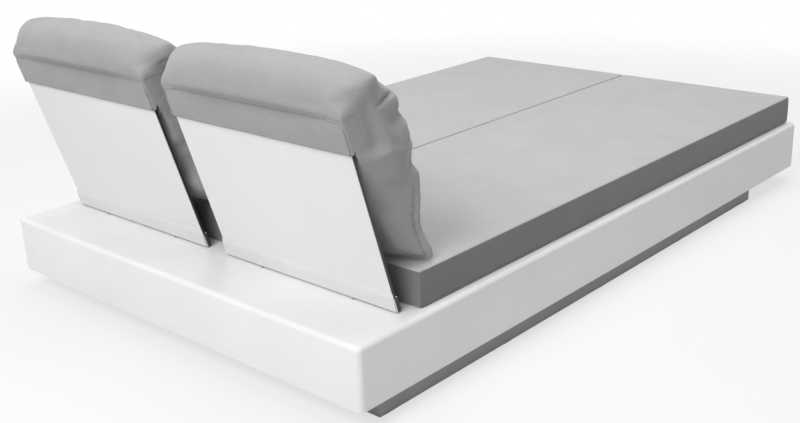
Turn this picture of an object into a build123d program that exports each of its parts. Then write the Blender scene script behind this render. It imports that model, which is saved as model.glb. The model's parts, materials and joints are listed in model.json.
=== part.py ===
"""A double chaise lounger: a low moulded platform on a recessed plinth, with a two-part
mattress and two backrests that tilt back separately. Millimetres, +Z up.
X runs across, the head end is at +Y, and the origin is on the floor below the middle."""
from build123d import *
from math import acos, cos, pi, radians, sin, tan
import os

os.makedirs("parts", exist_ok=True)

# Platform
platform_width = 1300
platform_length = 2100
slab_height = 148
slab_corner_radius = 14
slab_edge_radius = 11
shell_wall = 6
deck_thickness = 6
base_panel_thickness = 8
base_panel_gap = 0.5
joist_height = 60
joist_width = 40
joist_count = 6
joist_end_gap = 4
joist_end_inset = 45
rail_width = 50
rail_side_inset = 60
rail_end_gap = 20
tube_wall = 2.5

# Plinth
plinth_height = 55
plinth_board = 18
plinth_side_inset = 25
plinth_rear_inset = 80
plinth_front_inset = 272
corner_block = 32
corner_block_gap = 0.5
glide_height = 3
glide_radius = 15
glide_count = 5

# Mattress
mattress_thickness = 86
mattress_crown = 2
mattress_side_inset = 23
mattress_front_inset = 15
mattress_rear_inset = 218
mattress_split = 2
mattress_edge_radius = 4
mattress_corner_radius = 10
strip_thickness = 1.5
strip_width = 60
strip_end_inset = 120
strip_side_share = 0.25

# Backrest boards
lean = radians(73.4)
board_side_inset = 52
board_pair_gap = 84
board_thickness = 8
board_foot_inset = 175
board_reach = 453
board_corner_radius = 8
barrel_radius = 8
barrel_gap = 1.5
profile_reach = 30
profile_wall = 2.2
board_slot_gap = 0.1
board_seat = 12
foot_cap_thickness = 3
cover_wall = 0.7
cover_gap = 0.1
cover_lip = 12
cover_lip_edge = 0.3
cover_wrap = radians(24)

# Hinge
rod_radius = 4
rod_gap = 0.05
knuckle_gap = 1.2
knuckle_side_gap = 0.4
knuckle_width = 20
lug_depth = 34
lug_plate = 4
lug_width = 56
lug_bolt_spacing = 38
lug_bolt_radius = 3
lug_bolt_gap = 0.3
bolt_head_radius = 5.5
bolt_head_height = 3
nut_radius = 5.5
nut_height = 5
arm_side_inset = 128
arm_to_lug = 36

# Recline arms and their quadrants
arm_thickness = 6
arm_depth = 24
arm_tip_depth = 14
arm_reach = 205
flange_thickness = 4
flange_width = 44
flange_start = 34
arm_gap = 0.4
neck_width = 14
recline = radians(45)
quadrant_radius = 75
quadrant_half_width = 13
quadrant_shift = radians(8)
quadrant_margin = radians(9.5)
clamp_bolt_radius = 4
clamp_bolt_gap = 0.6
clamp_head_radius = 7
clamp_head_height = 5
arm_screw_radius = 3
arm_screw_side = 13
arm_screw_depth = 6
arm_screw_count = 3
arm_screw_inset = 25

# Friction clamp below the deck
disc_radius = 12
disc_thickness = 2
disc_gap = 0.1
cheek_thickness = 4
cheek_edge = 10
spring_thickness = 1.5
spring_count = 2
beam_thickness = 4
beam_front = 46
beam_rear = 26
beam_end_inset = 70
slot_side_gap = 0.8
slot_end_gap = 1

# Back cushions and their pockets
cushion_overhang = 12
cushion_rise = 111
cushion_heel_near = 107
cushion_heel_far = 130
cushion_front = 142
cushion_belly = 150
cushion_crown = 16
cushion_end_round = 30
cushion_back_bulge = 16
cushion_shoulder_drop = 144
hood_board_gap = 10
hood_drop = 77
hood_cloth = 3
hood_gap = 0.3
soft_gap = 0.3

# Levels and places that follow
slab_bottom = plinth_height
deck_top = slab_bottom + slab_height
deck_underside = deck_top - deck_thickness
base_panel_top = slab_bottom + base_panel_thickness
rail_height = deck_underside - base_panel_top - joist_height
half_width = platform_width / 2
half_length = platform_length / 2
mattress_bottom = deck_top + strip_thickness
mattress_top = mattress_bottom + mattress_thickness + mattress_crown
board_width = half_width - board_side_inset - board_pair_gap / 2
board_centre = (board_pair_gap + board_width) / 2
arm_offset = board_width / 2 - arm_side_inset
cushion_width = board_width + 2 * cushion_overhang
hood_top = board_reach + hood_board_gap
cushion_reach = hood_top + cushion_rise
cushion_shoulder = cushion_reach - cushion_shoulder_drop
pivot_height = barrel_radius + barrel_gap
pivot_y = half_length - board_foot_inset - board_thickness / 2 / sin(lean) + pivot_height / tan(lean)
pivot_z = deck_top + pivot_height
SIDES = {"left": 1, "right": -1}


def level(height):
    """The horizontal plane at a height above the floor."""
    return Plane.XY.offset(height)


def lean_plane(x):
    """At x, local x runs up along the board from the pivot, and local y out of its front."""
    return Plane(origin=(x, pivot_y, pivot_z), x_dir=(0, cos(lean), sin(lean)), z_dir=(1, 0, 0))


def upright_plane(x):
    """At x, local x runs to the rear and local y up, both from the pivot."""
    return Plane(origin=(x, pivot_y, pivot_z), x_dir=(0, 1, 0), z_dir=(1, 0, 0))


def board_face_plane(x, out):
    """On the board's front, out from its middle: local x runs across and local y up the board."""
    normal = (0, -sin(lean), cos(lean))
    origin = (x, pivot_y + out * normal[1], pivot_z + out * normal[2])
    return Plane(origin=origin, x_dir=(1, 0, 0), z_dir=normal)


def save(piece, name):
    """Labels a piece and writes it as its own file."""
    piece.part.label = name
    export_step(piece.part, f"parts/{name}.step")


def arm_places(side):
    """The x places of the two recline arms of a backrest."""
    centre = SIDES[side] * board_centre
    return [centre - arm_offset, centre + arm_offset]


def lug_places(side):
    """The x places of the two hinge lugs of a backrest, on the inner side of its arms."""
    centre = SIDES[side] * board_centre
    reach = arm_offset - arm_to_lug
    return [centre - reach, centre + reach]


all_arms = [x for side in SIDES for x in arm_places(side)]
all_lugs = [x for side in SIDES for x in lug_places(side)]
lug_bolts = [(x + s * lug_bolt_spacing / 2, pivot_y - lug_depth + lug_bolt_spacing / 4)
             for x in all_lugs for s in (-1, 1)]

# The slot in the deck clears the arm's neck at rest and fully reclined
slot_depth = pivot_height + deck_thickness + beam_thickness
slot_front = slot_depth * tan(recline) + neck_width / 2 / cos(recline) + slot_end_gap
slot_rear = neck_width / 2 + slot_end_gap
slot_width = arm_thickness + 2 * slot_side_gap


def arm_slots(height, amount):
    """Cuts the four arm slots through a horizontal plate in the open part."""
    with BuildSketch(level(height)) as slots:
        with Locations(*[(x, pivot_y + (slot_rear - slot_front) / 2) for x in all_arms]):
            Rectangle(slot_width, slot_front + slot_rear)
    extrude(slots.sketch, amount=amount, mode=Mode.SUBTRACT)


def lug_bolt_holes(height, amount):
    """Cuts the lug bolts' holes through a horizontal plate in the open part."""
    with BuildSketch(level(height)) as holes:
        with Locations(*lug_bolts):
            Circle(lug_bolt_radius + lug_bolt_gap)
    extrude(holes.sketch, amount=amount, mode=Mode.SUBTRACT)


# Platform shell: a moulded slab, open below
with BuildPart() as platform_shell:
    with BuildSketch(level(slab_bottom)):
        RectangleRounded(platform_width, platform_length, slab_corner_radius)
    extrude(amount=slab_height)
    fillet(platform_shell.edges().group_by(Axis.Z)[-1], slab_edge_radius)
    with BuildSketch(level(slab_bottom)):
        RectangleRounded(
            platform_width - 2 * shell_wall,
            platform_length - 2 * shell_wall,
            slab_corner_radius - shell_wall,
        )
    extrude(amount=slab_height - deck_thickness, mode=Mode.SUBTRACT)
    arm_slots(deck_underside, deck_thickness)
    lug_bolt_holes(deck_underside, deck_thickness)
save(platform_shell, "platform_shell")

# Base panel: closes the slab flush with its lower rim
panel_width = platform_width - 2 * (shell_wall + base_panel_gap)
panel_length = platform_length - 2 * (shell_wall + base_panel_gap)
with BuildPart() as base_panel:
    with BuildSketch(level(slab_bottom)):
        RectangleRounded(panel_width, panel_length, slab_corner_radius - shell_wall)
    extrude(amount=base_panel_thickness)
save(base_panel, "base_panel")


def square_tube(plane, width, height, length):
    """A rectangular tube from a plane, in the open part."""
    with BuildSketch(plane) as section:
        Rectangle(width, height)
        Rectangle(width - 2 * tube_wall, height - 2 * tube_wall, mode=Mode.SUBTRACT)
    extrude(section.sketch, amount=length / 2, both=True)


# Rails: three tubes along the slab, on the base panel
rail_side = half_width - rail_side_inset - rail_width / 2
for name, x in {"rail_left": rail_side, "rail_centre": 0, "rail_right": -rail_side}.items():
    with BuildPart() as rail:
        across = Plane(origin=(x, 0, base_panel_top + rail_height / 2), x_dir=(1, 0, 0), z_dir=(0, -1, 0))
        square_tube(across, rail_width, rail_height, panel_length - 2 * rail_end_gap)
    save(rail, name)

# Joists: tubes across the rails, under the deck, clear of the reclining quadrants
joist_first = joist_end_inset + joist_width / 2 - half_length
quadrant_outer = quadrant_radius + quadrant_half_width
joist_last = pivot_y - quadrant_outer - joist_width
joist_pitch = (joist_last - joist_first) / (joist_count - 1)
joist_rear = half_length - joist_end_inset - joist_width / 2
joist_places = [joist_first + i * joist_pitch for i in range(joist_count)] + [joist_rear]
for number, y in enumerate(joist_places, 1):
    with BuildPart() as joist:
        along = Plane(origin=(0, y, deck_underside - joist_height / 2), x_dir=(0, 1, 0), z_dir=(1, 0, 0))
        square_tube(along, joist_width, joist_height, panel_width - 2 * joist_end_gap)
    save(joist, f"deck_joist_{number}")

# Plinth: two long sides between a front and a rear board, on glides
plinth_front = plinth_front_inset - half_length
plinth_rear = half_length - plinth_rear_inset
plinth_half = half_width - plinth_side_inset
plinth_rise = plinth_height - glide_height
for name, sign in SIDES.items():
    with BuildPart() as plinth_side:
        with BuildSketch(level(glide_height)):
            with Locations((sign * (plinth_half - plinth_board / 2), (plinth_front + plinth_rear) / 2)):
                Rectangle(plinth_board, plinth_rear - plinth_front)
        extrude(amount=plinth_rise)
    save(plinth_side, f"plinth_{name}")
plinth_ends = {"front": plinth_front + plinth_board / 2, "rear": plinth_rear - plinth_board / 2}
for name, y in plinth_ends.items():
    with BuildPart() as plinth_end:
        with BuildSketch(level(glide_height)):
            with Locations((0, y)):
                Rectangle(2 * (plinth_half - plinth_board), plinth_board)
        extrude(amount=plinth_rise)
    save(plinth_end, f"plinth_{name}")

# Corner blocks inside the plinth, screwed to the boards
block_x = plinth_half - plinth_board - corner_block_gap - corner_block / 2
block_front = plinth_front + plinth_board + corner_block_gap + corner_block / 2
block_rear = plinth_rear - plinth_board - corner_block_gap - corner_block / 2
with BuildPart() as corner_blocks:
    with BuildSketch(level(glide_height)):
        with Locations(*[(s * block_x, y) for s in (-1, 1) for y in (block_front, block_rear)]):
            Rectangle(corner_block, corner_block)
    extrude(amount=plinth_rise)
save(corner_blocks, "plinth_corner_blocks")

# Glides under the long plinth boards
glide_x = plinth_half - plinth_board / 2
glide_span = block_rear - block_front
with BuildPart() as floor_glides:
    with BuildSketch(level(0)):
        for i in range(glide_count):
            y = block_front + glide_span * i / (glide_count - 1)
            with Locations((glide_x, y), (-glide_x, y)):
                Rectangle(plinth_board - 2 * glide_height, 2 * glide_radius)
    extrude(amount=glide_height)
save(floor_glides, "floor_glides")

# Hook strips: hold each mattress half to the deck
mattress_rear = half_length - mattress_rear_inset
mattress_front = mattress_front_inset - half_length
mattress_length = mattress_rear - mattress_front
mattress_width = half_width - mattress_side_inset - mattress_split / 2
mattress_centre = (mattress_split + mattress_width) / 2
mattress_middle = (mattress_front + mattress_rear) / 2
for name, sign in SIDES.items():
    with BuildPart() as hook_strips:
        with BuildSketch(level(deck_top)):
            for share in (-strip_side_share, strip_side_share):
                with Locations((sign * mattress_centre + share * mattress_width, mattress_middle)):
                    Rectangle(strip_width, mattress_length - 2 * strip_end_inset)
        extrude(amount=strip_thickness)
    save(hook_strips, f"hook_strips_{name}")

# Mattress halves: flat below, slightly crowned on top, with soft upright corners
for name, sign in SIDES.items():
    with BuildPart() as mattress:
        section = Plane(
            origin=(sign * mattress_centre, mattress_middle, mattress_bottom), x_dir=(1, 0, 0), z_dir=(0, -1, 0)
        )
        half = mattress_width / 2
        with BuildSketch(section):
            with BuildLine():
                Line((-half, 0), (half, 0))
                Line((half, 0), (half, mattress_thickness))
                ThreePointArc(
                    (half, mattress_thickness),
                    (0, mattress_thickness + mattress_crown),
                    (-half, mattress_thickness),
                )
                Line((-half, mattress_thickness), (-half, 0))
            make_face()
        extrude(amount=mattress_length / 2, both=True)
        fillet(mattress.edges().filter_by(Axis.Z), mattress_corner_radius)
        fillet(mattress.faces().sort_by(Axis.Z)[-1].edges(), mattress_edge_radius)
    save(mattress, f"mattress_{name}")

# Hinge beam: a steel strip under the deck with the cheeks of the friction clamps
beam_half = half_width - beam_end_inset
clamp_angle = quadrant_shift - recline / 2
clamp_place = (quadrant_radius * sin(clamp_angle), -quadrant_radius * cos(clamp_angle))
cheek_inner = arm_thickness / 2 + 2 * disc_gap + disc_thickness
cheek_outer = cheek_inner + cheek_thickness
with BuildPart() as hinge_beam:
    with BuildSketch(level(deck_underside - beam_thickness)):
        with Locations((0, pivot_y + (beam_rear - beam_front) / 2)):
            Rectangle(2 * beam_half, beam_front + beam_rear)
    extrude(amount=beam_thickness)
    for x in all_arms:
        for inner in (x + cheek_inner, x - cheek_outer):
            with BuildSketch(upright_plane(inner)):
                with BuildLine():
                    Polyline(
                        (-beam_front, -slot_depth),
                        (clamp_place[0] - disc_radius, clamp_place[1]),
                        (clamp_place[0] + disc_radius, clamp_place[1]),
                        (slot_rear, -slot_depth),
                        close=True,
                    )
                make_face()
                with Locations(clamp_place):
                    Circle(disc_radius)
                    Circle(clamp_bolt_radius + rod_gap, mode=Mode.SUBTRACT)
            extrude(amount=cheek_thickness)
    arm_slots(deck_underside - beam_thickness, beam_thickness)
    lug_bolt_holes(deck_underside - beam_thickness, beam_thickness)
save(hinge_beam, "hinge_beam")

# Hinge lugs: bolted to the deck in front of each board, round the hinge rod
for side in SIDES:
    with BuildPart() as hinge_lugs:
        for x in lug_places(side):
            with BuildSketch(upright_plane(x)):
                with BuildLine():
                    Polyline(
                        (0, -pivot_height),
                        (0, rod_radius),
                        (-barrel_radius, rod_radius / 2),
                        (lug_plate - lug_depth, lug_plate - pivot_height),
                        (lug_plate - lug_depth, -pivot_height),
                        close=True,
                    )
                make_face()
                Circle(barrel_radius)
                Circle(rod_radius + rod_gap, mode=Mode.SUBTRACT)
            extrude(amount=knuckle_width / 2, both=True)
            with BuildSketch(level(deck_top)):
                with Locations((x, pivot_y - lug_depth / 2 - barrel_radius / 2)):
                    Rectangle(lug_width, lug_depth - barrel_radius)
            extrude(amount=lug_plate)
        lug_bolt_holes(deck_top, lug_plate)
    save(hinge_lugs, f"hinge_lugs_{side}")

# Lug bolts and nuts: through the lug, the deck and the beam
beam_underside = deck_underside - beam_thickness
with BuildPart() as bolts:
    with BuildSketch(level(beam_underside - nut_height)):
        with Locations(*lug_bolts):
            Circle(lug_bolt_radius)
    extrude(amount=deck_top + lug_plate - beam_underside + nut_height)
    with BuildSketch(level(deck_top + lug_plate)):
        with Locations(*lug_bolts):
            Circle(bolt_head_radius)
    extrude(amount=bolt_head_height)
save(bolts, "lug_bolts")
with BuildPart() as nuts:
    with BuildSketch(level(beam_underside - nut_height)):
        with Locations(*lug_bolts):
            RegularPolygon(nut_radius, 6)
            Circle(lug_bolt_radius + rod_gap, mode=Mode.SUBTRACT)
    extrude(amount=nut_height)
save(nuts, "lug_nuts")


def cross_disc(x, radius, thickness, bore):
    """A disc on the clamp bolt's axis, from x towards +X, in the open part."""
    with BuildSketch(upright_plane(x)) as disc:
        with Locations(clamp_place):
            Circle(radius)
            if bore:
                Circle(bore, mode=Mode.SUBTRACT)
    extrude(disc.sketch, amount=thickness)


# Friction discs, one on each side of every quadrant
clamp_bore = clamp_bolt_radius + rod_gap
with BuildPart() as friction_discs:
    for x in all_arms:
        near = arm_thickness / 2 + disc_gap
        cross_disc(x + near, disc_radius, disc_thickness, clamp_bore)
        cross_disc(x - near - disc_thickness, disc_radius, disc_thickness, clamp_bore)
save(friction_discs, "friction_discs")

# Clamp bolts, their disc springs and nuts
spring_stack = spring_count * spring_thickness
with BuildPart() as clamp_bolts:
    for x in all_arms:
        start = x - cheek_outer - clamp_head_height
        cross_disc(start, clamp_head_radius, clamp_head_height, 0)
        shank = clamp_head_height + 2 * cheek_outer + spring_stack + nut_height
        cross_disc(start, clamp_bolt_radius, shank, 0)
save(clamp_bolts, "clamp_bolts")
with BuildPart() as disc_springs:
    for x in all_arms:
        for i in range(spring_count):
            narrow = clamp_head_radius
            wide = disc_radius - spring_thickness
            radius = wide if i % 2 == 0 else narrow
            cross_disc(x + cheek_outer + i * spring_thickness, radius, spring_thickness, clamp_bore)
save(disc_springs, "disc_springs")
with BuildPart() as clamp_nuts:
    for x in all_arms:
        with BuildSketch(upright_plane(x + cheek_outer + spring_stack)):
            with Locations(clamp_place):
                RegularPolygon(clamp_head_radius, 6)
                Circle(clamp_bore, mode=Mode.SUBTRACT)
        extrude(amount=nut_height)
save(clamp_nuts, "clamp_nuts")

profile_half = board_thickness / 2 + board_slot_gap + profile_wall
front_of_board = board_thickness / 2


def back_board(side):
    """A thin laminate board that leans back, with its foot in the profile."""
    centre = SIDES[side] * board_centre
    length = board_reach - board_seat
    with BuildPart() as board:
        with BuildSketch(board_face_plane(centre, -front_of_board)):
            with Locations((0, board_seat + length / 2)):
                Rectangle(board_width, length)
        extrude(amount=board_thickness)
        top_edges = board.edges().filter_by(Axis((0, 0, 0), (0, -sin(lean), cos(lean)))).sort_by(Axis.Z)[-2:]
        fillet(top_edges, board_corner_radius)
        with BuildSketch(board_face_plane(centre, front_of_board - arm_screw_depth)):
            with Locations(*[(p[0] - centre, p[1]) for p in screw_places(side)]):
                Circle(arm_screw_radius + rod_gap)
        extrude(amount=arm_screw_depth, mode=Mode.SUBTRACT)
    save(board, f"back_board_{side}")


def screw_places(side):
    """Where the arms' screws stand: x, and the height up along the board."""
    low = flange_start + arm_screw_inset
    spacing = (arm_reach - flange_start - 2 * arm_screw_inset) / (arm_screw_count - 1)
    return [
        (x + s * arm_screw_side, low + i * spacing)
        for x in arm_places(side)
        for s in (-1, 1)
        for i in range(arm_screw_count)
    ]


def foot_profile(side):
    """The profile that holds the board's foot: a channel on a barrel, notched for lugs and arms."""
    centre = SIDES[side] * board_centre
    with BuildPart() as profile:
        with BuildSketch(lean_plane(centre)):
            with Locations((profile_reach / 2, 0)):
                Rectangle(profile_reach, 2 * profile_half)
            Circle(barrel_radius)
            Circle(rod_radius + rod_gap, mode=Mode.SUBTRACT)
            slot = profile_reach - board_seat
            with Locations((board_seat + slot / 2, 0)):
                Rectangle(slot, board_thickness + 2 * board_slot_gap, mode=Mode.SUBTRACT)
        extrude(amount=board_width / 2, both=True)
        notches = [(x, knuckle_width) for x in lug_places(side)] + [(x, arm_thickness) for x in arm_places(side)]
        for x, width in notches:
            with BuildSketch(lean_plane(x)):
                Circle(barrel_radius + knuckle_gap)
            extrude(amount=width / 2 + knuckle_side_gap, both=True, mode=Mode.SUBTRACT)
    save(profile, f"foot_profile_{side}")


def hinge_rod(side):
    """The steel rod through the barrel, the lugs and the arms."""
    with BuildPart() as rod:
        with BuildSketch(lean_plane(SIDES[side] * board_centre)):
            Circle(rod_radius)
        extrude(amount=board_width / 2 - foot_cap_thickness, both=True)
    save(rod, f"hinge_rod_{side}")


def foot_caps(side):
    """Plastic caps on the ends of the foot profile."""
    centre = SIDES[side] * board_centre
    with BuildPart() as caps:
        for x in (centre + board_width / 2, centre - board_width / 2 - foot_cap_thickness):
            with BuildSketch(lean_plane(x)):
                with Locations((profile_reach / 2, 0)):
                    Rectangle(profile_reach, 2 * profile_half)
                Circle(barrel_radius)
            extrude(amount=foot_cap_thickness)
    save(caps, f"foot_caps_{side}")


def foot_cover(side):
    """A thin moulded strip that hides the foot profile from behind, feathered onto the board."""
    centre = SIDES[side] * board_centre
    inner = barrel_radius + cover_gap
    outer = inner + cover_wall

    def under(radius, angle):
        return (-radius * sin(angle), -radius * cos(angle))

    board_rear = -front_of_board - cover_gap
    wall_rear = -profile_half - cover_gap
    tangent = -acos(-wall_rear / inner)
    with BuildPart() as cover:
        with BuildSketch(lean_plane(centre)):
            with BuildLine():
                ThreePointArc(
                    under(inner, tangent),
                    under(inner, (tangent + cover_wrap) / 2),
                    under(inner, cover_wrap),
                )
                Line(under(inner, cover_wrap), under(outer, cover_wrap))
                ThreePointArc(under(outer, cover_wrap), under(outer, cover_wrap / 2), (0, -outer))
                Line((0, -outer), (profile_reach + cover_gap, wall_rear - cover_wall))
                Line((profile_reach + cover_gap, wall_rear - cover_wall),
                     (profile_reach + cover_lip, board_rear - cover_lip_edge))
                Line((profile_reach + cover_lip, board_rear - cover_lip_edge), (profile_reach + cover_lip, board_rear))
                Line((profile_reach + cover_lip, board_rear), (profile_reach + cover_gap, board_rear))
                Line((profile_reach + cover_gap, board_rear), (profile_reach + cover_gap, wall_rear))
                Line((profile_reach + cover_gap, wall_rear), under(inner, tangent))
            make_face()
        extrude(amount=board_width / 2 + foot_cap_thickness, both=True)
        neck_reach = neck_width / 2 + arm_gap
        for x in arm_places(side):
            with BuildSketch(upright_plane(x)):
                with Locations((neck_reach / 2, -pivot_height / 2)):
                    Rectangle(neck_reach, pivot_height)
            extrude(amount=arm_thickness / 2 + knuckle_side_gap, both=True, mode=Mode.SUBTRACT)
    save(cover, f"foot_cover_{side}")


def recline_arms(side):
    """Steel arms on the board's front: flange, web, eye round the rod, neck and slotted quadrant."""
    half_span = recline / 2 + quadrant_margin
    inner = quadrant_radius - quadrant_half_width
    start = quadrant_shift - half_span
    end = quadrant_shift + half_span
    slot_half = clamp_bolt_radius + clamp_bolt_gap

    def polar(radius, angle):
        return (radius * sin(angle), -radius * cos(angle))

    def arc(radius, a, b):
        return ThreePointArc(polar(radius, a), polar(radius, (a + b) / 2), polar(radius, b))

    with BuildPart() as arms:
        for x in arm_places(side):
            with BuildSketch(lean_plane(x)):
                with BuildLine():
                    Polyline(
                        (0, rod_radius),
                        (-rod_radius, arm_depth),
                        (flange_start, arm_depth),
                        (arm_reach, arm_tip_depth),
                        (arm_reach, front_of_board + flange_thickness / 2),
                        (flange_start, front_of_board + flange_thickness / 2),
                        (flange_start, profile_half + arm_gap),
                        (0, profile_half + arm_gap),
                        close=True,
                    )
                make_face()
                Circle(barrel_radius)
            extrude(amount=arm_thickness / 2, both=True)
            with BuildSketch(upright_plane(x)):
                with Locations((0, -(inner + quadrant_half_width / 2) / 2)):
                    Rectangle(neck_width, inner + quadrant_half_width / 2)
                with BuildLine():
                    arc(inner, start, end)
                    Line(polar(inner, end), polar(quadrant_outer, end))
                    arc(quadrant_outer, start, end)
                    Line(polar(quadrant_outer, start), polar(inner, start))
                make_face()
            extrude(amount=arm_thickness / 2, both=True)
            with BuildSketch(lean_plane(x)):
                Circle(rod_radius + rod_gap)
            extrude(amount=arm_thickness, both=True, mode=Mode.SUBTRACT)
            low = quadrant_shift - recline / 2
            high = quadrant_shift + recline / 2
            with BuildSketch(upright_plane(x)):
                with BuildLine():
                    arc(quadrant_radius - slot_half, low, high)
                    Line(polar(quadrant_radius - slot_half, high), polar(quadrant_radius + slot_half, high))
                    arc(quadrant_radius + slot_half, low, high)
                    Line(polar(quadrant_radius + slot_half, low), polar(quadrant_radius - slot_half, low))
                make_face()
                with Locations(polar(quadrant_radius, low), polar(quadrant_radius, high)):
                    Circle(slot_half)
            extrude(amount=arm_thickness, both=True, mode=Mode.SUBTRACT)
            with BuildSketch(board_face_plane(x, front_of_board)):
                with Locations((0, (flange_start + arm_reach) / 2)):
                    Rectangle(flange_width, arm_reach - flange_start)
            extrude(amount=flange_thickness)
            with BuildSketch(board_face_plane(x, front_of_board)):
                with Locations(*[(p[0] - x, p[1]) for p in screw_places(side) if abs(p[0] - x) < flange_width]):
                    Circle(arm_screw_radius + rod_gap)
            extrude(amount=flange_thickness, mode=Mode.SUBTRACT)
    save(arms, f"recline_arms_{side}")


def arm_screws(side):
    """Screws through the arms' flanges into the board."""
    centre = SIDES[side] * board_centre
    places = [(p[0] - centre, p[1]) for p in screw_places(side)]
    with BuildPart() as screws:
        with BuildSketch(board_face_plane(centre, front_of_board - arm_screw_depth)):
            with Locations(*places):
                Circle(arm_screw_radius)
        extrude(amount=arm_screw_depth + flange_thickness)
        with BuildSketch(board_face_plane(centre, front_of_board + flange_thickness)):
            with Locations(*places):
                Circle(bolt_head_radius)
        extrude(amount=bolt_head_height)
    save(screws, f"arm_screws_{side}")


def heel_up(out):
    """How far up along the board a point rests on the mattress, at a distance out of its middle."""
    return (mattress_top + soft_gap - pivot_z - out * cos(lean)) / sin(lean)


# Shares of the half width where the cushion's sections stand
cushion_station_shares = (-1, -0.985, -0.94, -0.8, -0.5, 0, 0.5, 0.8, 0.94, 0.985, 1)
end_round_power = 24


def back_cushion(side):
    """A wedge cushion: thick and crowned at the top, thin at the heel, drawn in at its ends."""
    centre = SIDES[side] * board_centre
    outer = front_of_board + hood_gap + hood_cloth + soft_gap
    with BuildPart() as cushion:
        for share in cushion_station_shares:
            drawn = cushion_end_round * abs(share) ** end_round_power
            crown = cushion_crown * (1 - share * share)
            top = cushion_reach - cushion_end_round * share * share - drawn
            belly = cushion_belly + crown - drawn
            front = cushion_front + crown - drawn
            heel_far = max(cushion_heel_far - drawn, cushion_heel_near + hood_cloth)
            near_up = heel_up(cushion_heel_near)
            far_up = heel_up(heel_far) + hood_cloth
            bulge = cushion_back_bulge * (1 - share * share)
            roof = hood_top + hood_cloth + hood_gap
            with BuildSketch(lean_plane(centre + share * cushion_width / 2)):
                with BuildLine():
                    middle_up = (far_up + cushion_shoulder) / 2
                    ThreePointArc((far_up, heel_far), (middle_up, belly), (cushion_shoulder, front))
                    bend_up = cushion_shoulder + (top - cushion_shoulder) * sin(pi / 4)
                    bend_out = front - (front - barrel_radius) * (1 - cos(pi / 4))
                    ThreePointArc((cushion_shoulder, front), (bend_up, bend_out), (top, (front + outer) / 4))
                    ThreePointArc(
                        (top, (front + outer) / 4),
                        ((top + roof) / 2, -outer - bulge),
                        (roof, -outer),
                    )
                    Line((roof, -outer), (roof, outer))
                    Line((roof, outer), (near_up, cushion_heel_near))
                    Line((near_up, cushion_heel_near), (far_up, heel_far))
                make_face()
        loft(ruled=True)
    save(cushion, f"back_cushion_{side}")


def hood(side):
    """The cloth pocket sewn to the cushion, slipped over the board's top."""
    centre = SIDES[side] * board_centre
    near = front_of_board + hood_gap
    far = near + hood_cloth
    hem = hood_top - hood_drop
    with BuildPart() as pocket:
        with BuildSketch(lean_plane(centre)):
            with Locations(((hem + hood_top + hood_cloth) / 2, 0)):
                Rectangle(hood_top + hood_cloth - hem, 2 * far)
        extrude(amount=board_width / 2 + hood_gap + hood_cloth, both=True)
        with BuildSketch(lean_plane(centre)):
            with Locations(((hem + hood_top) / 2, 0)):
                Rectangle(hood_top - hem, 2 * near)
        extrude(amount=board_width / 2 + hood_gap, both=True, mode=Mode.SUBTRACT)
    save(pocket, f"hood_pocket_{side}")


for side in SIDES:
    back_board(side)
    foot_profile(side)
    hinge_rod(side)
    foot_caps(side)
    foot_cover(side)
    recline_arms(side)
    arm_screws(side)
    back_cushion(side)
    hood(side)
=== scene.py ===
"""Looks of a double chaise lounger: woven cushions and mattress, white shell, grey plinth.
Metres. The backrests are described by s across, u up along the board and n out of its front."""

import math

import bpy
import numpy as np
from mathutils import Matrix, Vector, noise
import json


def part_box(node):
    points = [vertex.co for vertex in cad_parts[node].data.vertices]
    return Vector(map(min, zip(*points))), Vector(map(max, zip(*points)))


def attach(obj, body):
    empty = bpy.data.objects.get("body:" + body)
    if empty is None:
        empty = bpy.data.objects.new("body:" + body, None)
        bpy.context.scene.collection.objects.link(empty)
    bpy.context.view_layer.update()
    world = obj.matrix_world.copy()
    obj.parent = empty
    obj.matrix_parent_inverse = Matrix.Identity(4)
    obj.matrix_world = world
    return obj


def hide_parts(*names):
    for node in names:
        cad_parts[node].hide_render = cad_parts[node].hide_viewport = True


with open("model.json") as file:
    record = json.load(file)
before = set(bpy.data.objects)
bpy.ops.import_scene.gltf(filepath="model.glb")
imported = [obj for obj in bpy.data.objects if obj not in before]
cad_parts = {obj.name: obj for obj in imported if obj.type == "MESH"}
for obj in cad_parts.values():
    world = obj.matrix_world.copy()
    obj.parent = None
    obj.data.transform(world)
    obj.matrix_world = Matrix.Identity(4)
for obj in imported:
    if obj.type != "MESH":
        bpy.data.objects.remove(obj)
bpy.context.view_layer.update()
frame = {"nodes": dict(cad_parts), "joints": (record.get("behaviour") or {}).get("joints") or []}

SIDES = {"left": 1, "right": -1}
NODES = frame["nodes"]
MM = 0.001

# Backrest geometry, as in the frame
lean = math.radians(73.4)
pivots = {
    side: Vector(joint["pos_m"])
    for side in SIDES
    for joint in frame["joints"]
    if side in joint["name"]
}
board_half_width = 278 * MM
board_half_thickness = 4 * MM
hem_up = 386 * MM
hood_seam_up = 463 * MM
mattress_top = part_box("mattress_left")[1].z
up_board = Vector((0, math.cos(lean), math.sin(lean)))
out_board = Vector((0, -math.sin(lean), math.cos(lean)))


def board_point(side, s, u, n):
    """The row-frame point at s across, u up along and n out of a backrest's board."""
    return pivots[side] + Vector((s, 0, 0)) + up_board * u + out_board * n


# Materials

yarn_pitch = 0.0011
yarn_depth = 0.0004
cloth_warmth = 0.006
laminate_skin = 1.3 * MM


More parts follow.
